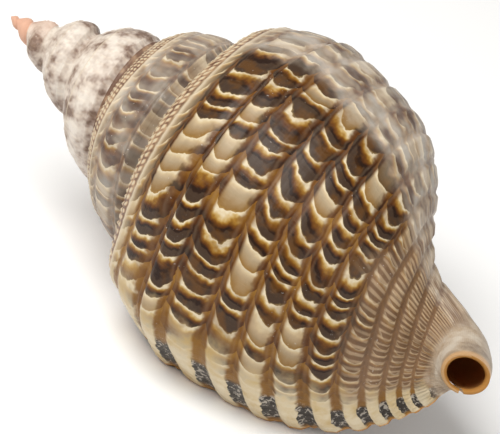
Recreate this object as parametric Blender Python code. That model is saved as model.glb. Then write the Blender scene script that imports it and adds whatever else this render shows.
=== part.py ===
"""Trumpet shell (Charonia tritonis): one grown, hollow, right-handed spiral shell.

The shell lies on its aperture. +X runs along the coiling axis from the apex to the canal, +Z is up
and the outer lip is on the -Y side. The outside is one helical sheet that grows by a fixed factor
with each turn, and the living chamber and the canal are cut out of it.
"""

import bmesh
import bpy
import numpy as np

for old in list(bpy.data.objects):
    bpy.data.objects.remove(old, do_unlink=True)

# ---- Growth of the spiral: factors for one turn, turns and degrees ----
UNIT = 0.080  # metres: the largest radius of the body whorl, the unit of every outline number
RADIUS_GROWTH = 1.356
LENGTH_GROWTH = 1.349
RADIUS_SLOWING = -0.131
LENGTH_SLOWING = -0.106
CANAL_RADIUS_GROWTH = 0.15
CANAL_LENGTH_GROWTH = 0.0
CANAL_GROWTH = (6.6, 8.3)
SPIRE_TURNS = 5.5
LIP_ANGLE = 209.0
LIP_SWEEP = 0.36
LIP_CURVE = 2.0

# One turn of the outline, from the suture round the whorl to the tip of the canal: radius and
# distance from the apex at places 1 to 9. Place 0 is the suture, where place 4 was a turn before.
OUTLINE = (
    (0.808, 1.457),
    (0.907, 1.581),
    (0.991, 1.813),
    (1.008, 1.992),
    (0.909, 2.537),
    (0.689, 2.889),
    (0.295, 3.161),
    (0.152, 3.272),
    (0.103, 3.357),
)
SUTURE = 4
NECK = 6
TIP = 9

# ---- Swellings and bends: heights in units of the outline, widths in turns, fades in places ----
VARIX_HEIGHT = 0.07
VARIX_WIDTH = 0.085
FIRST_VARIX = 0.479
VARIX_SPACING = 0.734
VARIX_LEAN = -0.06
VARICES = 6
LIP_VARIX_HEIGHT = 0.06
LIP_VARIX_WIDTH = 0.035
LIP_VARIX_BACK = 0.075
LIP_VARIX_FADE = (4.0, 5.5)
LIP_FLARE = 0.015
LIP_FLARE_TURNS = 0.12
NECK_FLARE = 0.09
NECK_FLARE_PLACE = 6.9
NECK_FLARE_WIDTH = 0.8
NECK_FLARE_TURNS = 0.2
SWELLING_RISE = (0.0, 1.2)
SWELLING_FADE = (5.0, 7.5)
SWELLING_BURIED = (3.0, 4.0)
SUTURE_DIP = 0.045
SUTURE_DIP_WIDTH = 0.55
SUTURE_DIP_TURNS = (-0.95, -1.05)
CANAL_BEND = (-0.344, 0.330)
CANAL_TILT = 0.32
SPIRE_BEND = (-0.31, 0.283)
SPIRE_BEND_FROM = 1.6
APEX_ROUNDING = 0.04

# ---- Wall, chamber and canal: thickness in units of the outline, the rest in places and turns ----
WALL = 0.036
CANAL_WALL = 0.022
WALL_THINNING = (5.0, 8.0)
YOUNG_WALL = 0.3
RIM_INSET = 0.03
CALLUS = 0.016
CALLUS_SPREAD = 0.015
CALLUS_FADE = (6.6, 7.4)
CANAL_LINING = (7.2, 8.0)
CANAL_GAP = 0.2
CANAL_GAP_PLACES = (7.0, 8.5)
CHAMBER_TURNS = 1.9
CHAMBER_FROM = 0.55
PARIETAL_FROM = 4.5
CANAL_TOP = 7.0
CANAL_DEPTH = 0.16
LOOP_CROWDING = 1.35

# ---- How it lies: degrees and metres ----
PITCH = 4.8
ROLL = 14.0
CONTACT_WEAR = 0.0010

# ---- Mesh density ----
COLUMNS = 26
SPIRE_ROWS = 8
BASE_ROWS = 12
CHAMBER_LOOPS = 40


def smooth(t):
    """3 t^2 - 2 t^3 on 0 to 1, held outside it."""
    t = np.clip(t, 0.0, 1.0)
    return t * t * (3.0 - 2.0 * t)


def ramp(value, ends):
    """Smooth step from 0 at the first of the two ends to 1 at the second."""
    return smooth((value - ends[0]) / (ends[1] - ends[0]))


def growth(turn, canal):
    """Radius and length factors at a turn before the lip, with canal from 0 on the whorl to 1."""
    radius_rate = 1.0 - (1.0 - CANAL_RADIUS_GROWTH) * canal
    length_rate = 1.0 - (1.0 - CANAL_LENGTH_GROWTH) * canal
    radius_turns = turn + RADIUS_SLOWING * turn * turn
    length_turns = turn + LENGTH_SLOWING * turn * turn
    return RADIUS_GROWTH ** (radius_rate * radius_turns), LENGTH_GROWTH ** (length_rate * length_turns)


def outline(turn):
    """The ten outline points (radius, distance) at each turn, as an array (..., 10, 2)."""
    points = []
    for place, (radius, distance) in enumerate(OUTLINE, start=1):
        canal = float(ramp(place, CANAL_GROWTH))
        wide, long = growth(turn, canal)
        points.append(np.stack([radius * wide, distance * long], -1))
    wide, long = growth(turn - 1.0, 0.0)
    radius, distance = OUTLINE[SUTURE - 1]
    return np.stack([np.stack([radius * wide, distance * long], -1)] + points, -2)


def along_outline(turn, place):
    """Catmull-Rom curve through the outline points: (radius, distance) at a place from 0 to 9."""
    knots = outline(turn)
    before = 2.0 * knots[..., :1, :] - knots[..., 1:2, :]
    after = 2.0 * knots[..., -1:, :] - knots[..., -2:-1, :]
    knots = np.concatenate([before, knots, after], -2)
    place = np.clip(place, 0.0, TIP - 1e-9)
    start = np.floor(place).astype(int)
    t = (place - start)[..., None]
    p0, p1, p2, p3 = (
        np.take_along_axis(knots, (start + step)[..., None, None], -2)[..., 0, :] for step in range(4)
    )
    return 0.5 * (
        2.0 * p1
        + (p2 - p0) * t
        + (2.0 * p0 - 5.0 * p1 + 4.0 * p2 - p3) * t * t
        + (3.0 * p1 - p0 - 3.0 * p2 + p3) * t**3
    )


def hump(value, middle, width):
    """Bell curve of height 1."""
    return np.exp(-(((value - middle) / width) ** 2))


def swelling(turn, place):
    """Height of the varices, the old lips that stay as ribs, and of the ridge and flare at the lip."""
    height = LIP_VARIX_HEIGHT * hump(turn, -LIP_VARIX_BACK, LIP_VARIX_WIDTH)
    height = height * (1.0 - ramp(place, LIP_VARIX_FADE)) + LIP_FLARE * smooth(1.0 + turn / LIP_FLARE_TURNS)
    for number in range(VARICES):
        middle = -(FIRST_VARIX + number * VARIX_SPACING) + VARIX_LEAN * (place / TIP - 0.5)
        height = height + VARIX_HEIGHT * hump(turn, middle, VARIX_WIDTH)
    fade = ramp(place, SWELLING_RISE) * (1.0 - ramp(place, SWELLING_FADE))
    covered = np.where(turn < -1.0, 1.0 - ramp(place, SWELLING_BURIED), 1.0)
    neck = NECK_FLARE * hump(place, NECK_FLARE_PLACE, NECK_FLARE_WIDTH) * smooth(1.0 + turn / NECK_FLARE_TURNS)
    return RADIUS_GROWTH**turn * height * fade * covered + neck


def suture_dip(turn, place):
    """Depth of the dip along the suture, on the older whorl's last places and the younger's first."""
    older = ramp(turn, SUTURE_DIP_TURNS) * hump(place, SUTURE, SUTURE_DIP_WIDTH)
    younger = hump(place, 0.0, SUTURE_DIP_WIDTH) / RADIUS_GROWTH
    return SUTURE_DIP * RADIUS_GROWTH**turn * np.maximum(older, younger)


def surface(turn, place, inset=0.0):
    """Points of the whorl in the spiral's own frame, moved in by inset across the outline."""
    turn, place = np.broadcast_arrays(np.asarray(turn, float), np.asarray(place, float))
    here = along_outline(turn, place)
    step = 1e-3
    run = along_outline(turn, place + step) - along_outline(turn, np.maximum(place - step, 0.0))
    run = run / np.linalg.norm(run, axis=-1, keepdims=True)
    radius = here[..., 0] + swelling(turn, place) - suture_dip(turn, place) - inset * run[..., 1]
    distance = here[..., 1] + inset * run[..., 0]
    across = place / TIP - 0.5
    lead = (LIP_SWEEP * across + LIP_CURVE * across**2) * np.maximum(
        ramp(turn, (-1.0, -0.2)), ramp(place, (SUTURE, NECK)))
    gap = CANAL_GAP * ramp(place, CANAL_GAP_PLACES) * np.clip(turn + 1.0, -0.2, 1.0)
    angle = np.radians(LIP_ANGLE) + 2.0 * np.pi * turn + lead - gap
    base, tip = OUTLINE[NECK - 1][1], OUTLINE[TIP - 1][1]
    front = np.clip((distance - base) / (tip - base), 0.0, 2.0) * (turn > -1.2)
    back = np.clip((SPIRE_BEND_FROM - distance) / SPIRE_BEND_FROM, 0.0, 1.0) ** 1.5
    y, z = radius * np.cos(angle), radius * np.sin(angle)
    tilt = CANAL_TILT * 3.0 * front**2 / (tip - base)
    x = distance - tilt * (CANAL_BEND[0] * y + CANAL_BEND[1] * z)
    y = y + CANAL_BEND[0] * front**3 + SPIRE_BEND[0] * back
    z = z + CANAL_BEND[1] * front**3 + SPIRE_BEND[1] * back
    return np.stack([x, y, z], -1)


def lie_down(points):
    """Turns the spiral's frame by roll about X, then pitch about Y, and scales it to metres."""
    roll, pitch = np.radians(ROLL), np.radians(PITCH)
    x, y, z = points[:, 0], points[:, 1], points[:, 2]
    y, z = y * np.cos(roll) - z * np.sin(roll), y * np.sin(roll) + z * np.cos(roll)
    x, z = x * np.cos(pitch) + z * np.sin(pitch), z * np.cos(pitch) - x * np.sin(pitch)
    return UNIT * np.stack([x, y, z], 1)


def outer_sheet():
    """Outside of the shell as a grid of whorl points; a whorl's first row is the last row a turn before."""
    rows = np.concatenate([np.linspace(0, SUTURE, SPIRE_ROWS + 1),
                           np.linspace(SUTURE, TIP, BASE_ROWS + 1)[1:]])
    first_full = int(round(COLUMNS * SPIRE_TURNS))
    count = first_full + COLUMNS + 1
    turns = (np.arange(count) - count + 1) / COLUMNS
    grid = surface(turns[:, None], rows[None, :])
    ids = np.full(grid.shape[:2], -1)
    points, faces = [], []
    for column in range(count):
        for row in range(len(rows) if column >= first_full else SPIRE_ROWS + 1):
            if row == 0 and column >= COLUMNS:
                ids[column, row] = ids[column - COLUMNS, SPIRE_ROWS]
            else:
                ids[column, row] = len(points)
                points.append(grid[column, row])
    for column in range(count - 1):
        for row in range(len(rows) - 1 if column >= first_full else SPIRE_ROWS):
            faces.append((ids[column, row], ids[column + 1, row],
                          ids[column + 1, row + 1], ids[column, row + 1]))
    apex = list(ids[0, : SPIRE_ROWS + 1]) + list(ids[COLUMNS - 1 : 0 : -1, 0])
    middle = np.mean([points[i] for i in apex], 0)
    close_ring(points, faces, apex, middle - np.array([APEX_ROUNDING, 0.0, 0.0]))
    lip, start = ids[-1], ids[first_full]
    rim = list(lip) + list(ids[-2 : first_full : -1, -1]) + list(start[: SPIRE_ROWS : -1])
    return points, faces, rim, rows


def close_ring(points, faces, ring, middle):
    """Fan of triangles from a ring of points to one in the middle."""
    points.append(middle)
    for here, there in zip(ring, ring[1:] + ring[:1]):
        faces.append((here, there, len(points) - 1))


def chamber_loop(depth, rows):
    """Ring of points on the chamber's wall, this many turns in from the lip."""
    end = TIP - (TIP - CANAL_TOP) * smooth(depth / CANAL_DEPTH) - RIM_INSET
    share = rows / TIP
    wall = WALL + (CANAL_WALL - WALL) * ramp(rows, WALL_THINNING)
    wall = wall * (YOUNG_WALL + (1.0 - YOUNG_WALL) * RADIUS_GROWTH**-depth)
    lip_side = surface(-depth, CHAMBER_FROM + (end - CHAMBER_FROM) * share, wall)
    back = np.linspace(0.0, -1.0, COLUMNS + 1)[1:-1]
    back_side = surface(back, end, CANAL_WALL)
    inner = np.linspace(end, PARIETAL_FROM, BASE_ROWS)
    lift = CANAL_WALL * ramp(inner, CANAL_LINING) - CALLUS * (1.0 - ramp(inner, CALLUS_FADE))
    inner_side = surface(-1.0 - CALLUS_SPREAD - depth, inner, lift)
    chord = np.linspace(lip_side[-1], inner_side[0], COLUMNS + 1)[1:-1]
    blend = smooth((depth - 0.3 * CANAL_DEPTH) / CANAL_DEPTH)
    return np.concatenate([lip_side, back_side * (1.0 - blend) + chord * blend, inner_side])


def mesh_object(name, points, faces):
    """Object from points and faces, with its faces turned out."""
    mesh = bpy.data.meshes.new(name)
    mesh.from_pydata([tuple(point) for point in points], [], [tuple(map(int, face)) for face in faces])
    mesh.validate()
    made = bpy.data.objects.new(name, mesh)
    bpy.context.scene.collection.objects.link(made)
    corners = bmesh.new()
    corners.from_mesh(mesh)
    bmesh.ops.recalc_face_normals(corners, faces=corners.faces)
    bmesh.ops.triangulate(corners, faces=corners.faces)
    corners.to_mesh(mesh)
    corners.free()
    return made


# ---- Outside, then the chamber's wall, ring by ring, from the lip to its blind end ----
points, faces, rim, lip_rows = outer_sheet()
ring = list(rim)
for depth in np.linspace(0.0, 1.0, CHAMBER_LOOPS) ** LOOP_CROWDING * CHAMBER_TURNS:
    start = len(points)
    points.extend(chamber_loop(depth, lip_rows))
    inner_ring = list(range(start, len(points)))
    for side in range(len(ring)):
        along = (side + 1) % len(ring)
        faces.append((ring[side], ring[along], inner_ring[along], inner_ring[side]))
    ring = inner_ring
close_ring(points, faces, ring, np.mean([points[i] for i in ring], 0))

# ---- Place it: lowest points worn flat on the ground, middle of the box over the origin ----
placed = lie_down(np.array(points))
low, high = placed.min(0), placed.max(0)
placed -= np.array([(low[0] + high[0]) / 2.0, (low[1] + high[1]) / 2.0, low[2] + CONTACT_WEAR])
placed[:, 2] = np.maximum(placed[:, 2], 0.0)
shell = mesh_object("shell", placed, faces)

shell.data.shade_smooth()
shell.data.set_sharp_from_angle(angle=np.radians(50.0))

material = bpy.data.materials.new("shell_brown_cream")
material.use_nodes = True
principled = material.node_tree.nodes["Principled BSDF"]
principled.inputs["Base Color"].default_value = (0.42, 0.26, 0.13, 1.0)
principled.inputs["Roughness"].default_value = 0.35
principled.inputs["Metallic"].default_value = 0.0
shell.data.materials.append(material)
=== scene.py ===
import bmesh
import bpy
import numpy as np
from mathutils import Matrix, Vector


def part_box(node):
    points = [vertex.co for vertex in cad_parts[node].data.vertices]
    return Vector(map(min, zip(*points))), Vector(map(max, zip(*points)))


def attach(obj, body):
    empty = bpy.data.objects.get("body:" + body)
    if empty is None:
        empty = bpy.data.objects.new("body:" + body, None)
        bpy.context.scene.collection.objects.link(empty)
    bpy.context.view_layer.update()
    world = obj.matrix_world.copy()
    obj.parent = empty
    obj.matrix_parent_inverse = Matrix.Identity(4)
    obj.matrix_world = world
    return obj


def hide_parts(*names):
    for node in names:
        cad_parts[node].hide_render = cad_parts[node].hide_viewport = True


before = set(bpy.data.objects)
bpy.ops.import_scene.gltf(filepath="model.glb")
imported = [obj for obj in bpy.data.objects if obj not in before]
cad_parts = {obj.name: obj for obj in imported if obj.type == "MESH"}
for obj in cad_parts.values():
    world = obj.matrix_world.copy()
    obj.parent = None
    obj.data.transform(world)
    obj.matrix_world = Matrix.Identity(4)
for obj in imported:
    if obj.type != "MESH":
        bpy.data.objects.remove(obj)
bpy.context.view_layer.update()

# ======================================================================================
# The shell: one grown, hollow, right-handed spiral of aragonite. The animal added it in
# thin layers at the outer lip, so cords run along the spiral and growth lines run across.
# ======================================================================================
UNIT = 0.080  # metres: about the largest radius of the body whorl. Every length of the spiral is in it

# How the spiral grows. Turns count back from 0 at the lip, so they are negative. The growths are
# factors for one turn, and each slowing multiplies the square of the turn. The canal takes the
# smaller growths, fully from place 8.3. The lip's angle is in degrees, its sweep and curve in radians.
RADIUS_GROWTH = 1.356
LENGTH_GROWTH = 1.349
RADIUS_SLOWING = -0.131
LENGTH_SLOWING = -0.106
CANAL_RADIUS_GROWTH = 0.15
CANAL_LENGTH_GROWTH = 0.0
CANAL_GROWTH_FROM = 6.6
CANAL_GROWTH_FULL = 8.3
LIP_ANGLE = 209.0
LIP_SWEEP = 0.36
LIP_CURVE = 2.0

# Outline of the body whorl, (radius, distance from the apex) at places 1 to 9: shoulder, belly,
# neck and canal. Place 0 is the suture, where place 4 was a turn before.
OUTLINE = (
    (0.808, 1.457),
    (0.907, 1.581),
    (0.991, 1.813),
    (1.008, 1.992),
    (0.909, 2.537),
    (0.689, 2.889),
    (0.295, 3.161),
    (0.152, 3.272),
    (0.103, 3.357),
)
SUTURE = 4
TIP = 9
NECK = 6

# Old lips that stay as ribs, the last lip's flange, the flare of the neck, the bends of canal and
# spire, and the dip at the suture
VARIX_HEIGHT = 0.07
VARIX_WIDTH = 0.085
FIRST_VARIX = 0.479
VARIX_SPACING = 0.734
VARIX_LEAN = -0.06
VARICES = 6
LIP_VARIX_HEIGHT = 0.06
LIP_VARIX_WIDTH = 0.035
LIP_VARIX_BACK = 0.075
LIP_FLARE = 0.015
LIP_FLARE_TURNS = 0.12
NECK_FLARE = 0.09
NECK_FLARE_PLACE = 6.9
NECK_FLARE_WIDTH = 0.8
NECK_FLARE_TURNS = 0.2
CANAL_BEND = (-0.344, 0.330)
CANAL_BEND_TURNS = 1.2
CANAL_TILT = 0.32
SPIRE_BEND = (-0.31, 0.283)
SPIRE_BEND_FROM = 1.6
SPIRE_BEND_POWER = 1.5
SUTURE_DIP = 0.045
SUTURE_DIP_WIDTH = 0.55

# Wall, living chamber and canal slit, with the teeth behind the lip and the folds facing them
WALL = 0.036
CANAL_WALL = 0.022
CALLUS = 0.016
CALLUS_SPREAD = 0.015
CANAL_GAP = 0.2
CHAMBER_TURNS = 1.9
CHAMBER_FROM = 0.55
PARIETAL_FROM = 4.5
CANAL_TOP = 7.0
CANAL_DEPTH = 0.16
RIM_STEP = 0.03
TOOTH_HEIGHT = 0.016
TEETH_PER_CORD = 2.0
FOLD_HEIGHT = 0.008
FOLDS_PER_PLACE = 4.2
FOLD_SLANT = 1.2

# How it lies, in degrees, and how deep its lowest points are worn flat
PITCH = 4.8
ROLL = 14.0
WORN_DEPTH = 0.0012  # metres

# Cords: places of their middles from the shoulder to the canal, and how far they stand up. Threads run
# between them, rows of beads along the suture (place, width, share of the height), then a thin ridge.
CORD_PLACES = (1.05, 1.72, 2.45, 3.80, 4.32, 4.66, 5.00, 5.42, 5.92, 6.28, 6.55, 6.80, 7.05, 7.30)
CORD_HEIGHT = 0.014
GROOVE_DEPTH = 0.008
THREADS_PER_CORD = 6.0
THREAD_HEIGHT = 0.004
BEAD_HEIGHT = 0.012
BEAD_ROWS = ((0.62, 0.14, 1.0), (1.02, 0.14, 1.0), (1.36, 0.12, 0.8))
BEADS_PER_TURN = 120
RIDGE_PLACE = 1.72
RIDGE_HEIGHT = 0.010
NECK_BEADS_PER_TURN = 90
NECK_BEAD_HEIGHT = 0.011
RIB_RISE = 0.004
GROWTH_LINE_HEIGHT = 0.0011
OLD_BREAK_TURN = -0.372
OLD_BREAK_HEIGHT = 0.012

# Mesh: (first turn, last turn, columns a turn, rows from suture to suture), oldest whorls first
WHORLS = ((-6.5, -4.0, 72, 16), (-4.0, -2.0, 144, 32), (-2.0, 0.0, 288, 64))
BASE_ROWS = 96
CHAMBER_LOOPS = 34
APEX_RISE = 0.01

# Marks on the mesh that tell the outside from the lining's two sides
OUTSIDE, LIP_SIDE, INNER_SIDE = 0.0, 1.0, 2.0


def smooth(t):
    """3 t^2 - 2 t^3 on 0 to 1, held outside it."""
    t = np.clip(t, 0.0, 1.0)
    return t * t * (3.0 - 2.0 * t)


def ramp(t, start, width):
    """smooth((t - start) / width): 0 up to start, 1 from start + width."""
    return smooth((t - start) / width)


def fall(t, start, width):
    """1 - ramp: 1 up to start, 0 from start + width."""
    return 1.0 - ramp(t, start, width)


def hump(t, middle, width):
    """Bell curve exp(-((t - middle) / width)^2)."""
    return np.exp(-(((t - middle) / width) ** 2))


def growth(turn, canal):
    """Radius and length factors: growth ^ (rate (turn + slowing turn^2)), where the rate falls from
    1 at canal = 0 to the canal's own growth at canal = 1."""
    radius_rate = 1.0 - (1.0 - CANAL_RADIUS_GROWTH) * canal
    length_rate = 1.0 - (1.0 - CANAL_LENGTH_GROWTH) * canal
    radius_turns = turn + RADIUS_SLOWING * turn * turn
    length_turns = turn + LENGTH_SLOWING * turn * turn
    return RADIUS_GROWTH ** (radius_rate * radius_turns), LENGTH_GROWTH ** (length_rate * length_turns)


def outline(turn):
    """The ten outline points (radius, distance) at each turn, each scaled by its growth."""
    knots = []
    for place, (radius, distance) in enumerate(OUTLINE, start=1):
        canal = float(ramp(place, CANAL_GROWTH_FROM, CANAL_GROWTH_FULL - CANAL_GROWTH_FROM))
        wide, long = growth(turn, canal)
        knots.append(np.stack([radius * wide, distance * long], -1))
    wide, long = growth(turn - 1.0, 0.0)
    radius, distance = OUTLINE[SUTURE - 1]
    return np.stack([np.stack([radius * wide, distance * long], -1)] + knots, -2)


def along_outline(turn, place):
    """Catmull-Rom curve through the outline points: (radius, distance) at a place from 0 to 9."""
    knots = outline(turn)
    before = 2.0 * knots[..., :1, :] - knots[..., 1:2, :]
    after = 2.0 * knots[..., -1:, :] - knots[..., -2:-1, :]
    knots = np.concatenate([before, knots, after], -2)
    place = np.clip(place, 0.0, TIP - 1e-9)
    start = np.floor(place).astype(int)
    t = (place - start)[..., None]
    p0, p1, p2, p3 = (
        np.take_along_axis(knots, (start + step)[..., None, None], -2)[..., 0, :] for step in range(4)
    )
    return 0.5 * (
        2.0 * p1
        + (p2 - p0) * t
        + (2.0 * p0 - 5.0 * p1 + 4.0 * p2 - p3) * t * t
        + (3.0 * p1 - p0 - 3.0 * p2 + p3) * t**3
    )


def swelling(turn, place):
    """Height of the varices, growth^turn (sum of bells + last lip's ridge and flare), faded out at the
    suture, at the canal and under the next whorl, and the neck's flare near the lip."""
    height = LIP_VARIX_HEIGHT * hump(turn, -LIP_VARIX_BACK, LIP_VARIX_WIDTH) * fall(place, 4.0, 1.5)
    height = height + LIP_FLARE * smooth(1.0 + turn / LIP_FLARE_TURNS)
    for number in range(VARICES):
        middle = -(FIRST_VARIX + number * VARIX_SPACING) + VARIX_LEAN * (place / TIP - 0.5)
        height = height + VARIX_HEIGHT * hump(turn, middle, VARIX_WIDTH)
    fade = ramp(place, 0.0, 1.2) * fall(place, 5.0, 2.5)
    covered = np.where(turn < -1.0, fall(place, 3.0, 1.0), 1.0)
    neck = NECK_FLARE * hump(place, NECK_FLARE_PLACE, NECK_FLARE_WIDTH)
    neck = neck * smooth(1.0 + turn / NECK_FLARE_TURNS)
    return RADIUS_GROWTH**turn * height * fade * covered + neck


def cord_number(place):
    """Cord coordinate: whole number n + 0.5 on the middle of cord n, straight lines between."""
    middles = np.array((0.0,) + CORD_PLACES + (8.2, 9.0))
    return np.interp(place, middles, np.arange(len(middles)) - 0.5)


def relief(turn, place):
    """Height over the smooth whorl, growth^turn times the sum of flat-topped cords, cosine threads in
    the grooves, cosine beads, the ridge, two sine growth lines, and the step of the old break."""
    whole_turn = 2.0 * np.pi
    number = cord_number(place)
    across = np.abs(number - np.floor(number) - 0.5)
    rim = ramp(turn, -0.13, 0.10)
    flat_top = 1.0 - smooth((across - 0.24 + 0.06 * rim) / 0.20)
    on_belly = ramp(place, 1.9, 0.5) * fall(place, 6.3, 0.9)
    height = ((CORD_HEIGHT + RIB_RISE * rim) * flat_top - GROOVE_DEPTH) * on_belly
    thread = THREAD_HEIGHT * np.cos(whole_turn * number * THREADS_PER_CORD)
    height = height + thread * (1.0 - flat_top) * on_belly
    bead = 0.55 + 0.45 * np.cos(whole_turn * BEADS_PER_TURN * turn)
    band = sum(share * hump(place, middle, width) for middle, width, share in BEAD_ROWS)
    height = height + BEAD_HEIGHT * band * bead + RIDGE_HEIGHT * hump(place, RIDGE_PLACE, 0.10)
    neck = ramp(place, 6.3, 0.4) * fall(place, 7.7, 0.4)
    neck_bead = 0.7 + 0.3 * np.cos(whole_turn * NECK_BEADS_PER_TURN * turn + 2.0 * np.floor(number))
    height = height + NECK_BEAD_HEIGHT * neck * flat_top * neck_bead
    lines = np.sin(whole_turn * (83.0 * turn + 0.6 * np.sin(1.7 * place)))
    lines = lines + 0.7 * np.sin(whole_turn * (131.0 * turn + 0.5 * np.sin(2.3 * place + 1.0)))
    height = height + GROWTH_LINE_HEIGHT * lines
    step = ramp(turn, OLD_BREAK_TURN, 0.006) * fall(turn, -0.36, 0.10)
    old_break = ramp(place, 1.5, 0.6) * fall(place, 6.4, 0.8)
    height = height + OLD_BREAK_HEIGHT * old_break * step
    shown = ramp(place, 0.0, 0.35) * np.where(turn < -1.0, fall(place, 3.5, 0.4), 1.0)
    return RADIUS_GROWTH**turn * height * shown * fall(place, 8.2, 0.6)


def surface(turn, place, inset=0.0):
    """Points of the whorl in the spiral's own frame: the outline point is moved in by inset along the
    outline's normal, then turned about the axis by 360 degrees a turn. The canal is moved aside by
    CANAL_BEND front^3 and tilted to match, and the spire is moved aside by SPIRE_BEND back^1.5."""
    turn, place = np.broadcast_arrays(np.asarray(turn, float), np.asarray(place, float))
    here = along_outline(turn, place)
    step = 1e-3
    run = along_outline(turn, place + step) - along_outline(turn, np.maximum(place - step, 0.0))
    run = run / np.linalg.norm(run, axis=-1, keepdims=True)
    buried = ramp(-turn, 0.95, 0.1) * hump(place, SUTURE, SUTURE_DIP_WIDTH)
    at_suture = hump(place, 0.0, SUTURE_DIP_WIDTH) / RADIUS_GROWTH
    dip = SUTURE_DIP * RADIUS_GROWTH**turn * np.maximum(buried, at_suture)
    radius = here[..., 0] + swelling(turn, place) - dip - inset * run[..., 1]
    distance = here[..., 1] + inset * run[..., 0]
    across = place / TIP - 0.5
    led = np.maximum(ramp(turn, -1.0, 0.8), ramp(place, SUTURE, 2.0))
    lead = (LIP_SWEEP * across + LIP_CURVE * across**2) * led
    gap = CANAL_GAP * ramp(place, CANAL_TOP, 1.5) * np.clip(turn + 1.0, -0.2, 1.0)
    angle = np.radians(LIP_ANGLE) + 2.0 * np.pi * turn + lead - gap
    base, tip = OUTLINE[NECK - 1][1], OUTLINE[TIP - 1][1]
    front = np.clip((distance - base) / (tip - base), 0.0, 2.0) * (turn > -CANAL_BEND_TURNS)
    back = np.clip((SPIRE_BEND_FROM - distance) / SPIRE_BEND_FROM, 0.0, 1.0) ** SPIRE_BEND_POWER
    y, z = radius * np.cos(angle), radius * np.sin(angle)
    tilt = CANAL_TILT * 3.0 * front**2 / (tip - base)
    x = distance - tilt * (CANAL_BEND[0] * y + CANAL_BEND[1] * z)
    y = y + CANAL_BEND[0] * front**3 + SPIRE_BEND[0] * back
    z = z + CANAL_BEND[1] * front**3 + SPIRE_BEND[1] * back
    return np.stack([x, y, z], -1)


def lie_down(points):
    """Turns the spiral's frame by roll about X, then pitch about Y, and scales it to metres."""
    roll, pitch = np.radians(ROLL), np.radians(PITCH)
    x, y, z = points[..., 0], points[..., 1], points[..., 2]
    y, z = y * np.cos(roll) - z * np.sin(roll), y * np.sin(roll) + z * np.cos(roll)
    x, z = x * np.cos(pitch) + z * np.sin(pitch), z * np.cos(pitch) - x * np.sin(pitch)
    return UNIT * np.stack([x, y, z], -1)


class Sheet:
    """Collects grids of points with their turn, place and lining marks, and the faces between them."""

    def __init__(self):
        self.points = []
        self.marks = []
        self.quads = []
        self.corners = []
        self.count = 0

    def add(self, points, turn, place, lining, depth):
        """Adds a grid of points, and returns its grid of point numbers."""
        shape = points.shape[:-1]
        marks = [np.broadcast_to(part, shape) for part in (turn, place, lining, depth)]
        ids = np.arange(self.count, self.count + int(np.prod(shape))).reshape(shape)
        self.points.append(points.reshape(-1, 3))
        self.marks.append(np.stack(marks, -1).reshape(-1, 4))
        self.count += ids.size
        return ids

    def join(self, a, b, c, d):
        """Four-sided faces a, b, c, d from arrays of point numbers."""
        self.quads.append(np.stack([part.ravel() for part in np.broadcast_arrays(a, b, c, d)], 1))

    def fill(self, a, b, c):
        """Three-sided faces a, b, c from arrays of point numbers."""
        self.corners.append(np.stack([part.ravel() for part in np.broadcast_arrays(a, b, c)], 1))


# The whorls, oldest first. A whorl's edge at the suture is the edge of the whorl a turn before, so
# they share those points. Where the grid gets finer, every second point is shared, and a triangle
# beside each coarse face takes in the point between.
sheet = Sheet()
older = None
for first_turn, last_turn, columns, rows in WHORLS:
    turns = np.linspace(first_turn, last_turn, int(round((last_turn - first_turn) * columns)) + 1)
    places = np.linspace(0.0, SUTURE, rows + 1)
    turn_grid, place_grid = turns[:, None], places[None, :]
    grid = surface(turn_grid, place_grid, -relief(turn_grid, place_grid))
    ids = sheet.add(grid, turn_grid, place_grid, OUTSIDE, 0.0)
    ids[columns:, 0] = ids[: len(turns) - columns, rows]
    quad = np.stack([ids[:-1, :-1], ids[1:, :-1], ids[1:, 1:], ids[:-1, 1:]], -1)
    if older is None:
        apex_ring = list(ids[0, :]) + list(ids[columns - 1 : 0 : -1, 0])
    else:
        ids[0, ::2] = older[-1]
        ids[0 : columns + 1 : 2, 0] = older[len(older) - 1 - columns // 2 :, -1]
        quad = np.stack([ids[:-1, :-1], ids[1:, :-1], ids[1:, 1:], ids[:-1, 1:]], -1)
        split_side = ids[0, 1::2]
        split_end = ids[1:columns:2, 0]
        older_quad[-1, :-1, 2], kept = split_side[:-1], older_quad[-1, :-1, 2].copy()
        sheet.fill(split_side[:-1], kept, older_quad[-1, :-1, 3])
        half = columns // 2
        kept = older_quad[-half:-1, -1, 3].copy()
        older_quad[-half:-1, -1, 3] = split_end[:-1]
        sheet.fill(older_quad[-half:-1, -1, 0], split_end[:-1], kept)
        a, b, c, d = older_quad[-1, -1]
        sheet.fill(
            np.array([split_side[-1], split_side[-1]]),
            np.array([c, split_end[-1]]),
            np.array([split_end[-1], d]),
        )
        older_quad[-1, -1] = (a, b, split_side[-1], d)
        sheet.join(*(older_quad[..., corner] for corner in range(4)))
    older, older_quad = ids, quad
sheet.join(*(older_quad[..., corner] for corner in range(4)))

# The last turn's base, neck and canal, from the suture's place to the tip
body_columns, body_rows = WHORLS[-1][2:]
turns = np.linspace(-1.0, 0.0, body_columns + 1)[:, None]
base_places = SUTURE + (TIP - SUTURE) * np.linspace(0.0, 1.0, BASE_ROWS + 1)[None, :]
base_points = surface(turns, base_places, -relief(turns, base_places))
base = sheet.add(base_points, turns, base_places, OUTSIDE, 0.0)
base[:, 0] = older[-body_columns - 1 :, -1]
sheet.join(base[:-1, :-1], base[1:, :-1], base[1:, 1:], base[:-1, 1:])

# The apex: one point in the middle of the oldest whorl's first ring
apex = np.mean([sheet.points[0][number] for number in apex_ring], 0)[None] - [[APEX_RISE, 0.0, 0.0]]
point = sheet.add(apex, WHORLS[0][0], 0.0, OUTSIDE, 0.0)
sheet.fill(np.array(apex_ring), np.roll(apex_ring, -1), np.full(len(apex_ring), point[0]))

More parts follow.
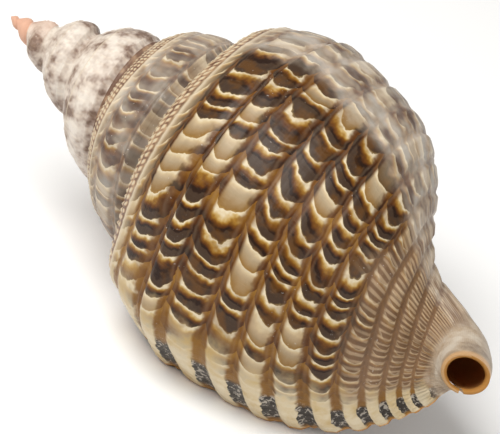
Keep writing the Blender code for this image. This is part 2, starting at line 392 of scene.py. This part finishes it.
# The edge of the aperture: down the lip, round the canal's end and back up the base
lip_ids = np.concatenate([older[-1], base[-1, 1:]])
lip_places = np.concatenate([np.linspace(0.0, SUTURE, body_rows + 1), base_places[0, 1:]])
rim = np.concatenate([lip_ids, base[-2:0:-1, -1], base[0, :0:-1]])


def chamber_loop(depth):
    """Ring of points on the chamber's wall, this many turns in from the lip: the lip side is the whorl
    moved in by the wall, the inner side is the older whorl under its callus. Teeth and folds are
    squared cosines. Further in than the canal, a straight line joins the two sides."""
    end = TIP - (TIP - CANAL_TOP) * ramp(depth, 0.0, CANAL_DEPTH) - RIM_STEP
    share = lip_places / TIP
    wall = WALL + (CANAL_WALL - WALL) * ramp(lip_places, 5.0, 3.0)
    scale = RADIUS_GROWTH ** (-depth)
    place = CHAMBER_FROM + (end - CHAMBER_FROM) * share
    tooth_row = ramp(depth, 0.0, 0.012) * fall(depth, 0.035, 0.03)
    teeth = 0.5 + 0.5 * np.cos(2.0 * np.pi * TEETH_PER_CORD * cord_number(place))
    toothed = ramp(place, 1.6, 0.5) * fall(place, 6.6, 0.5)
    wall = wall * (0.3 + 0.7 * scale) + TOOTH_HEIGHT * tooth_row * teeth**2 * toothed
    lip_side = surface(-depth, place, wall)
    back_turns = np.linspace(0.0, -1.0, body_columns + 1)[1:-1]
    back_side = surface(back_turns, end, CANAL_WALL)
    inner = np.linspace(end, PARIETAL_FROM, BASE_ROWS)
    lift = CANAL_WALL * ramp(inner, 7.2, 0.8) - CALLUS * fall(inner, 6.6, 0.8)
    folds = 0.5 + 0.5 * np.cos(2.0 * np.pi * FOLDS_PER_PLACE * (inner + FOLD_SLANT * depth))
    fold_zone = ramp(inner, 4.9, 0.5) * fall(depth, 0.10, 0.15) * ramp(depth, 0.0, 0.02)
    lift = lift - FOLD_HEIGHT * folds**2 * fold_zone
    inner_side = surface(-1.0 - CALLUS_SPREAD - depth, inner, lift)
    straight = np.linspace(lip_side[-1], inner_side[0], body_columns + 1)[1:-1]
    past_canal = ramp(depth, 0.3 * CANAL_DEPTH, CANAL_DEPTH)
    canal_side = back_side * (1.0 - past_canal) + straight * past_canal
    loop = np.concatenate([lip_side, canal_side, inner_side])
    places = np.concatenate([place, np.full(len(back_turns), end), inner])
    side = np.repeat([LIP_SIDE, INNER_SIDE], [len(place) + len(back_turns), len(inner)])
    return loop, places, side


ring = rim
for depth in np.linspace(0.0, 1.0, CHAMBER_LOOPS) ** 1.5 * CHAMBER_TURNS:
    loop, loop_places, side = chamber_loop(depth)
    inner_ring = sheet.add(loop, -depth, loop_places, side, depth)
    sheet.join(ring, np.roll(ring, -1), np.roll(inner_ring, -1), inner_ring)
    ring = inner_ring
point = sheet.add(loop.mean(0)[None], -CHAMBER_TURNS, 2.0, INNER_SIDE, CHAMBER_TURNS)
sheet.fill(ring, np.roll(ring, -1), np.full(len(ring), point[0]))

# The mesh: laid down, centred on the part's box, and worn flat where it stands
spiral_points = np.concatenate(sheet.points)
marks = np.concatenate(sheet.marks)
quads = np.concatenate(sheet.quads)
triangles = np.concatenate(sheet.corners)
used, compact = np.unique(np.concatenate([quads.ravel(), triangles.ravel()]), return_inverse=True)
placed = lie_down(spiral_points[used])
low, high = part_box("shell")
middle = (placed.min(0) + placed.max(0)) / 2.0
shift_x = (low[0] + high[0]) / 2.0 - middle[0]
shift_y = (low[1] + high[1]) / 2.0 - middle[1]
shift = np.array([shift_x, shift_y, low[2] - placed[:, 2].min() - WORN_DEPTH])
placed = placed + shift
placed[:, 2] = np.maximum(placed[:, 2], 0.0)
face_list = compact[: quads.size].reshape(-1, 4).tolist()
face_list += compact[quads.size :].reshape(-1, 3).tolist()
mesh = bpy.data.meshes.new("shell_skin")
mesh.from_pydata(placed.tolist(), [], face_list)
sides = bmesh.new()
sides.from_mesh(mesh)
bmesh.ops.recalc_face_normals(sides, faces=sides.faces)
sides.to_mesh(mesh)
sides.free()
shell = bpy.data.objects.new("shell_skin", mesh)
bpy.context.scene.collection.objects.link(shell)

# Marks on the mesh: along and across the spiral, and where the lining is
corner_points = np.empty(len(mesh.loops), dtype=np.int64)
mesh.loops.foreach_get("vertex_index", corner_points)
face_of = np.repeat(np.arange(len(mesh.polygons)), [len(face) for face in face_list])
mark = marks[used][corner_points]
# A face at the suture uses its own whorl's numbers on both sides, so its turns and places don't jump
turn_mark, place_mark = mark[:, 0].copy(), mark[:, 1].copy()
top = np.full(len(mesh.polygons), -1e9)
np.maximum.at(top, face_of, turn_mark)
behind = (turn_mark < top[face_of] - 0.5) & (mark[:, 2] == OUTSIDE)
turn_mark[behind] += 1.0
place_mark[behind] -= SUTURE
cord_mark = cord_number(np.maximum(place_mark, 0.0))
spiral_map = mesh.uv_layers.new(name="spiral")
spiral_map.data.foreach_set("uv", np.stack([turn_mark, cord_mark], 1).ravel())
place_map = mesh.uv_layers.new(name="place")
place_map.data.foreach_set("uv", np.stack([turn_mark, place_mark], 1).ravel())
lining_map = mesh.uv_layers.new(name="lining")
lining_map.data.foreach_set("uv", np.stack([mark[:, 2], mark[:, 3]], 1).ravel())
mesh.shade_smooth()
print("shell faces", len(mesh.polygons), "triangles", len(mesh.loops) - 2 * len(mesh.polygons))

# What the surface is painted with: a small kit for wiring shader nodes
material = bpy.data.materials.new("shell_skin")
material.use_nodes = True
tree = material.node_tree
finish = tree.nodes["Principled BSDF"]


class Wire:
    """An output of a node. Adding, multiplying and so on makes a Math node and gives its output."""

    def __init__(self, socket):
        self.socket = socket

    def __add__(self, other):
        return calc("ADD", self, other)

    def __sub__(self, other):
        return calc("SUBTRACT", self, other)

    def __mul__(self, other):
        return calc("MULTIPLY", self, other)

    def __rsub__(self, other):
        return calc("SUBTRACT", other, self)


def plug(value, socket):
    """Links a wire to a socket, or sets a plain value on it."""
    if isinstance(value, Wire):
        tree.links.new(value.socket, socket)
    elif isinstance(value, tuple) and socket.type == "RGBA":
        socket.default_value = value + (1.0,)
    else:
        socket.default_value = value


def calc(operation, first, second=0.0):
    """One Math node."""
    node = tree.nodes.new("ShaderNodeMath")
    node.operation = operation
    plug(first, node.inputs[0])
    plug(second, node.inputs[1])
    return Wire(node.outputs[0])


def step_up(value, start, end):
    """Smooth step from 0 at start to 1 at end; start above end makes it fall."""
    if start > end:
        return 1.0 - step_up(value, end, start)
    node = tree.nodes.new("ShaderNodeMapRange")
    node.interpolation_type = "SMOOTHSTEP"
    plug(value, node.inputs["Value"])
    node.inputs["From Min"].default_value = start
    node.inputs["From Max"].default_value = end
    return Wire(node.outputs["Result"])


def peak(value, middle, width):
    """Smooth rise and fall round a middle: 1 there, 0 a width away."""
    return step_up(calc("ABSOLUTE", value - middle), width, 0.0)


def vector(x, y, z=0.0):
    """Three numbers as one vector."""
    node = tree.nodes.new("ShaderNodeCombineXYZ")
    for value, socket in zip((x, y, z), node.inputs):
        plug(value, socket)
    return Wire(node.outputs[0])


def cloud(place, scale, detail=2.0, roughness=0.5):
    """Noise from 0 to 1, with its middle at 0.5."""
    node = tree.nodes.new("ShaderNodeTexNoise")
    node.inputs["Scale"].default_value = scale
    node.inputs["Detail"].default_value = detail
    node.inputs["Roughness"].default_value = roughness
    plug(place, node.inputs["Vector"])
    return Wire(node.outputs["Fac"])


def chance(place):
    """A random number from 0 to 1 for each value of the vector."""
    node = tree.nodes.new("ShaderNodeTexWhiteNoise")
    plug(place, node.inputs["Vector"])
    return Wire(node.outputs["Value"])


def blend(share, first, second):
    """Colour between two colours."""
    node = tree.nodes.new("ShaderNodeMix")
    node.data_type = "RGBA"
    plug(share, node.inputs[0])
    plug(first, node.inputs[6])
    plug(second, node.inputs[7])
    return Wire(node.outputs[2])


def shades(value, *stops):
    """Colour ramp through (position, colour) stops."""
    node = tree.nodes.new("ShaderNodeValToRGB")
    while len(node.color_ramp.elements) < len(stops):
        node.color_ramp.elements.new(1.0)
    for element, (position, colour) in zip(node.color_ramp.elements, stops):
        element.position = position
        element.color = colour + (1.0,)
    plug(value, node.inputs[0])
    return Wire(node.outputs[0])


def pair(map_name):
    """The two numbers of one of the mesh's maps."""
    uv = tree.nodes.new("ShaderNodeUVMap")
    uv.uv_map = map_name
    split = tree.nodes.new("ShaderNodeSeparateXYZ")
    tree.links.new(uv.outputs[0], split.inputs[0])
    return Wire(split.outputs[0]), Wire(split.outputs[1])


# Colours, as linear red, green and blue
WHITE = (0.64, 0.55, 0.39)
CREAM = (0.47, 0.32, 0.12)
HONEY = (0.29, 0.145, 0.022)
AMBER = (0.150, 0.058, 0.006)
BROWN = (0.080, 0.025, 0.004)
DARK = (0.020, 0.008, 0.004)
SLATE = (0.052, 0.030, 0.018)
LILAC = (0.30, 0.235, 0.205)
PEACH = (0.72, 0.42, 0.30)
TAN = (0.40, 0.29, 0.19)
ORANGE = (0.50, 0.24, 0.06)
RUST = (0.60, 0.36, 0.17)
SOOT = (0.030, 0.023, 0.018)
ASH = (0.36, 0.32, 0.27)
UMBER = (0.11, 0.055, 0.028)
FAWN = (0.34, 0.21, 0.12)
SAND = (0.60, 0.44, 0.28)
BONE = (0.66, 0.56, 0.42)
STRAW = (0.60, 0.48, 0.34)
CHALK = (0.80, 0.78, 0.74)
GAP_BROWN = (0.07, 0.03, 0.02)
FOLD_DARK = (0.10, 0.045, 0.03)
FOLD_PALE = (0.74, 0.58, 0.42)

# Colour ramps, as (position, colour)
CORD_RAMP = ((0.0, WHITE), (0.11, WHITE), (0.23, CREAM), (0.35, HONEY), (0.47, AMBER), (0.61, BROWN),
             (0.76, DARK), (0.9, DARK), (1.0, SLATE))
GROOVE_RAMP = ((0.08, CREAM), (0.24, HONEY), (0.48, AMBER), (0.66, BROWN), (0.86, DARK))
WORN_RAMP = ((0.34, (0.16, 0.10, 0.070)), (0.43, LILAC), (0.50, (0.58, 0.49, 0.39)),
             (0.60, (0.80, 0.74, 0.66)))
SPIRE_RAMP = ((0.36, (0.20, 0.13, 0.10)), (0.43, (0.42, 0.33, 0.28)), (0.50, (0.64, 0.55, 0.48)),
              (0.62, (0.82, 0.75, 0.67)))
BAND_RAMP = ((0.10, (0.13, 0.06, 0.04)), (0.28, (0.44, 0.28, 0.17)), (0.45, (0.62, 0.48, 0.31)),
             (0.7, WHITE))
NECK_RAMP = ((0.35, (0.26, 0.19, 0.13)), (0.5, (0.46, 0.36, 0.26)), (0.65, (0.62, 0.55, 0.46)))
# Orange of the lining, with painted shade that darkens it further into the chamber
LINING_ORANGE_AND_PAINTED_SHADE = ((0.0, ORANGE), (0.05, (0.52, 0.24, 0.085)), (0.3, (0.36, 0.155, 0.055)),
               (1.0, (0.18, 0.08, 0.035)))

# How often the pattern repeats: cells in a turn, and waves in radians for one turn, cord or place
CELLS_PER_TURN = 44.0
CELLS_CROWDING = 34.0
BEAD_WAVE = 753.98
NECK_BEAD_WAVE = 565.5
THREAD_WAVE = 37.7
TOOTH_WAVE = 12.566
FOLD_WAVE = 26.39

# What the pattern is built on: turns, cord numbers and places, the lining's marks, and plain space
turn_along, cord_across = pair("spiral")
_, place_across = pair("place")
lining, lining_depth = pair("lining")
solid = Wire(tree.nodes.new("ShaderNodeTexCoord").outputs["Object"])

# Crescents: each cord carries a row of cells. In a cell the colour runs from white through honey and
# brown to a dark blotch, whose edge towards the lip is round, with its tips pointing back.
wobble = cloud(solid, 95.0, 3.0, 0.6) - 0.5
soft_wobble = cloud(solid, 42.0, 1.0) - 0.5
slow_wobble = cloud(solid, 22.0) - 0.5
cord = cord_across + wobble * 0.22 + soft_wobble * 0.25 + slow_wobble * 0.2
cord_index = calc("FLOOR", cord)
off_middle = cord - cord_index - 0.5
edge = calc("ABSOLUTE", off_middle)
near_lip = calc("MAXIMUM", turn_along + 0.3, 0.0)
cells = turn_along * CELLS_PER_TURN + near_lip * near_lip * CELLS_CROWDING
cord_luck = chance(vector(cord_index, 7.0))
bow = edge * edge * 2.6
drift = cloud(vector(turn_along * 15.0, cord_index * 5.0), 1.0, 1.0) * 2.6
slant = off_middle * (cord_luck - 0.5) * 0.9
cells = cells + bow + cord_luck * 3.0 + soft_wobble * 1.1 + wobble * 0.7 + slant + drift
cell_index = calc("FLOOR", cells)
through = cells - cell_index
luck = chance(vector(cell_index, cord_index, 3.0))
more_luck = chance(vector(cell_index, cord_index, 11.0))
region = cloud(solid, 19.0, 1.0) - 0.5
small_region = cloud(solid, 60.0, 2.0) - 0.5
fresh = step_up(turn_along, -0.19, -0.09)
darkness = calc("MAXIMUM", luck * 0.7 + region * 1.8 + small_region * 1.2 + 1.30 - fresh * 0.50, 0.60)
shade = through * darkness + wobble * 0.2 + 0.04 - step_up(edge, 0.16, 0.42) * 0.34
shade = calc("MAXIMUM", calc("MINIMUM", shade, 0.995), 0.0)
cord_colour = shades(shade, *CORD_RAMP)
cord_colour = blend(step_up(cloud(solid, 110.0, 3.0), 0.48, 0.66) * 0.45, cord_colour, AMBER)
pale_cell = blend(through, WHITE, HONEY)
cord_colour = blend(step_up(more_luck, 0.84, 0.88) * 0.7, cord_colour, pale_cell)
cord_colour = blend(step_up(through, 0.93, 1.0) * 0.35, cord_colour, CREAM)
groove_shade = cloud(solid, 75.0, 3.0) * 0.8 + shade * 0.3 + region * 0.7 + 0.10 - fresh * 0.16
groove_colour = shades(groove_shade, *GROOVE_RAMP)
threads = calc("SINE", cord * THREAD_WAVE) * 0.5 + 0.5
groove_colour = blend(threads * 0.12, groove_colour, TAN)
on_cord = step_up(edge + wobble * 0.3, 0.40, 0.26)
pattern = blend(on_cord, groove_colour, cord_colour)

# The shoulder is paler, and the neck's cords carry sandy beads on dark brown
shoulder_colour = blend(cloud(solid, 90.0, 3.0), HONEY, WHITE)
pattern = blend(step_up(place_across, 2.15, 1.75) * 0.65, pattern, shoulder_colour)
neck_wave = calc("SINE", turn_along * NECK_BEAD_WAVE + cord_index * 2.0)
neck_bead = step_up(neck_wave + wobble * 2.0, -0.4, 0.9) * on_cord
neck_ground = blend(cloud(solid, 70.0, 3.0), UMBER, FAWN)
neck_cords = blend(neck_bead * 0.7, neck_ground, SAND)
pattern = blend(step_up(place_across + soft_wobble, 5.9, 6.5) * 0.72, pattern, neck_cords)

# The last stretch before the lip: plain white ribs on amber, with dark speckled spots between them
ribbed = step_up(turn_along + wobble * 0.08, -0.105, -0.055)
grain = cloud(solid, 420.0, 2.0, 0.7)
rib_colour = blend(step_up(wobble, -0.2, 0.3), WHITE, CREAM)
between = blend(cloud(solid, 60.0), AMBER, HONEY)
spot = step_up(edge + wobble * 0.2, 0.22, 0.30) * peak(turn_along + wobble * 0.02, -0.032, 0.036)
spot = step_up(spot, 0.15, 0.5) * step_up(place_across, 2.6, 3.4)
speckled = blend(step_up(grain, 0.52, 0.62), SOOT, ASH)
rib_zone = blend(step_up(edge, 0.24, 0.36), rib_colour, between)
rib_zone = blend(spot, rib_zone, speckled)
rib_zone = blend(step_up(turn_along, -0.006, -0.002), rib_zone, ORANGE)
pattern = blend(ribbed, pattern, rib_zone)

# Older growth behind the break is duller and greyer, and the spire is worn to lilac grey and white
old = step_up(turn_along + wobble * 0.03, -0.34, -0.37)
patches = cloud(vector(turn_along * 34.0, cord_across * 0.9), 1.0, 2.0, 0.6) * 0.7
patches = patches + cloud(solid, 70.0, 3.0) * 0.3
worn = shades(patches, *WORN_RAMP)
previous = step_up(turn_along + wobble * 0.03, -0.93, -1.0)
far_side = step_up(turn_along, -0.50, -0.62)
pattern = blend(old * (0.50 - far_side * 0.28 + previous * 0.14), pattern, worn)
older_still = step_up(turn_along + slow_wobble * 0.5, -1.25, -1.9)
spire = shades(cloud(solid, 95.0, 3.0, 0.65), *SPIRE_RAMP)
pattern = blend(older_still * 0.85, pattern, spire)
pattern = blend(step_up(turn_along, -4.1, -4.7), pattern, PEACH)

# Band of beads along the suture, and the thin white ridge beside it
beads = calc("COSINE", turn_along * BEAD_WAVE) * 0.5 + 0.5
first_row = peak(place_across, 0.62, 0.20)
second_row = peak(place_across, 1.02, 0.20)
third_row = peak(place_across, 1.36, 0.17)
rows = calc("MAXIMUM", calc("MAXIMUM", first_row, second_row), third_row)
bead_noise = cloud(solid, 180.0, 2.0) - 0.5
band_colour = shades(beads * rows * 0.75 + bead_noise * 0.8 + 0.12, *BAND_RAMP)
on_band = step_up(place_across, 1.62, 1.48) * step_up(turn_along, -1.9, -1.4)
pattern = blend(on_band * 0.85, pattern, band_colour)
pattern = blend(peak(place_across, RIDGE_PLACE, 0.13) * 0.7, pattern, BONE)

# Neck and canal: tan and grey, almost plain, with an orange rim
neck_colour = shades(cloud(solid, 75.0, 4.0, 0.6), *NECK_RAMP)
pattern = blend(step_up(place_across + wobble * 0.6, 7.4, 7.85), pattern, neck_colour)
pattern = blend(step_up(place_across, 8.65, 8.9), pattern, RUST)

# Inside: orange, darkened by painted shade further into the chamber, with white teeth on dark pairs
# behind the lip and pale folds on a dark inner lip
teeth = calc("COSINE", cord_across * TOOTH_WAVE) * 0.5 + 0.5
tooth_places = step_up(place_across, 1.4, 2.0) * step_up(place_across, 6.9, 6.4)
tooth_zone = step_up(lining_depth, 0.10, 0.05) * tooth_places
# Painted shade: the lining's orange darkens with depth into the chamber
inside = shades(lining_depth, *LINING_ORANGE_AND_PAINTED_SHADE)
inside = blend(tooth_zone, inside, blend(teeth, GAP_BROWN, WHITE))
folds = calc("COSINE", (place_across + lining_depth * FOLD_SLANT) * FOLD_WAVE) * 0.5 + 0.5
inner_lip = blend(folds, FOLD_DARK, FOLD_PALE)
inner_lip = blend(step_up(lining_depth, 0.12, 0.3), inner_lip, inside)
on_inner_side = step_up(lining, 1.4, 1.6) * step_up(place_across, 7.4, 6.8)
inside = blend(on_inner_side, inside, inner_lip)
colour = blend(step_up(lining, 0.4, 0.6), pattern, inside)

# Fine growth lines across the cords, faint threads along them, and specks of white dust in scattered
# patches
growth_lines = cloud(vector(turn_along * 420.0, cord_across * 1.5), 1.0, 3.0, 0.7)
fine_threads = cloud(vector(turn_along * 9.0, cord_across * 16.0), 1.0, 2.0, 0.6)
colour = blend(step_up(growth_lines, 0.62, 0.8) * 0.10, colour, STRAW)
dust = step_up(cloud(solid, 900.0, 1.0), 0.70, 0.78) * step_up(cloud(solid, 40.0), 0.5, 0.7)
colour = blend(dust * 0.5, colour, CHALK)

# Finish: a dull sheen, and a fine bump along the growth lines and threads
plug(colour, finish.inputs["Base Color"])
plug(cloud(solid, 60.0, 3.0) * 0.22 + 0.24, finish.inputs["Roughness"])
bump = tree.nodes.new("ShaderNodeBump")
bump.inputs["Distance"].default_value = 0.0005
bump.inputs["Strength"].default_value = 0.55
plug(growth_lines * 0.7 + fine_threads * 0.6 + cloud(solid, 300.0, 2.0) * 0.3, bump.inputs["Height"])
plug(Wire(bump.outputs[0]), finish.inputs["Normal"])
finish.inputs["Specular IOR Level"].default_value = 0.16
finish.inputs["Coat Weight"].default_value = 0.05
finish.inputs["Coat Roughness"].default_value = 0.22
mesh.materials.append(material)

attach(shell, "root")
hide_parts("shell")

# ======================================================================================
# The studio: a plain pale floor, a large soft key light from above, a weak fill light from the
# canal's side, and a camera with a long lens above the canal and the outer lip.
# ======================================================================================
FLOOR_HALF = 6.0
FLOOR_COLOUR = (0.97, 0.98, 1.0, 1.0)
WORLD_COLOUR = (1.0, 0.975, 0.93, 1.0)
WORLD_STRENGTH = 0.3
LIGHT_COLOUR = (1.0, 0.98, 0.94)
LIGHT_AIM = (0.0, 0.0, 0.05)

floor_mesh = bpy.data.meshes.new("floor")
floor_corners = [(x * FLOOR_HALF, y * FLOOR_HALF, 0.0) for x, y in ((-1, -1), (1, -1), (1, 1), (-1, 1))]
floor_mesh.from_pydata(floor_corners, [], [(0, 1, 2, 3)])
floor = bpy.data.objects.new("floor", floor_mesh)
bpy.context.scene.collection.objects.link(floor)
paper = bpy.data.materials.new("white_paper")
paper.use_nodes = True
paper_finish = paper.node_tree.nodes["Principled BSDF"]
paper_finish.inputs["Base Color"].default_value = FLOOR_COLOUR
paper_finish.inputs["Roughness"].default_value = 0.9
floor_mesh.materials.append(paper)

bpy.context.scene.view_settings.view_transform = "Standard"
world = bpy.data.worlds.new("studio")
bpy.context.scene.world = world
world.use_nodes = True
background = world.node_tree.nodes["Background"]
background.inputs["Color"].default_value = WORLD_COLOUR
background.inputs["Strength"].default_value = WORLD_STRENGTH


def soft_light(name, place, size, power):
    """Square area light at place, this many metres wide, turned towards LIGHT_AIM."""
    light = bpy.data.lights.new(name, "AREA")
    light.size = size
    light.energy = power
    light.color = LIGHT_COLOUR
    lamp = bpy.data.objects.new(name, light)
    lamp.location = place
    lamp.rotation_euler = (Vector(LIGHT_AIM) - Vector(place)).to_track_quat("-Z", "Y").to_euler()
    bpy.context.scene.collection.objects.link(lamp)


soft_light("key_light", (-0.3, -0.5, 1.3), 1.0, 22.0)
soft_light("fill_light", (1.2, -0.4, 0.7), 0.8, 5.0)

# The camera: angles in degrees, distance and shifts in metres, lens and sensor in millimetres
CAMERA_AIM = (2.2, 0.0, 0.0)  # on the axis, in the spiral's frame
CAMERA_TURN, CAMERA_RISE, CAMERA_TILT = 30.56, 34.41, 15.71
CAMERA_DISTANCE = 0.8848
CAMERA_SIDE, CAMERA_UP = -0.03297, 0.01248
CAMERA_LENS = 148.6
CAMERA_SENSOR = 36.0
camera_data = bpy.data.cameras.new("camera")
camera_data.lens = CAMERA_LENS
camera_data.sensor_width = CAMERA_SENSOR
camera = bpy.data.objects.new("camera", camera_data)
turn, rise = np.radians(CAMERA_TURN), np.radians(CAMERA_RISE)
back = Vector((np.sin(turn) * np.cos(rise), -np.cos(turn) * np.cos(rise), np.sin(rise)))
look = back.to_track_quat("Z", "Y").to_matrix() @ Matrix.Rotation(np.radians(CAMERA_TILT), 3, "Z")
aim = Vector(lie_down(np.array(CAMERA_AIM)) + shift)
camera.rotation_euler = look.to_euler()
camera.location = aim + back * CAMERA_DISTANCE + look @ Vector((CAMERA_SIDE, CAMERA_UP, 0.0))
bpy.context.scene.collection.objects.link(camera)
bpy.context.scene.camera = camera
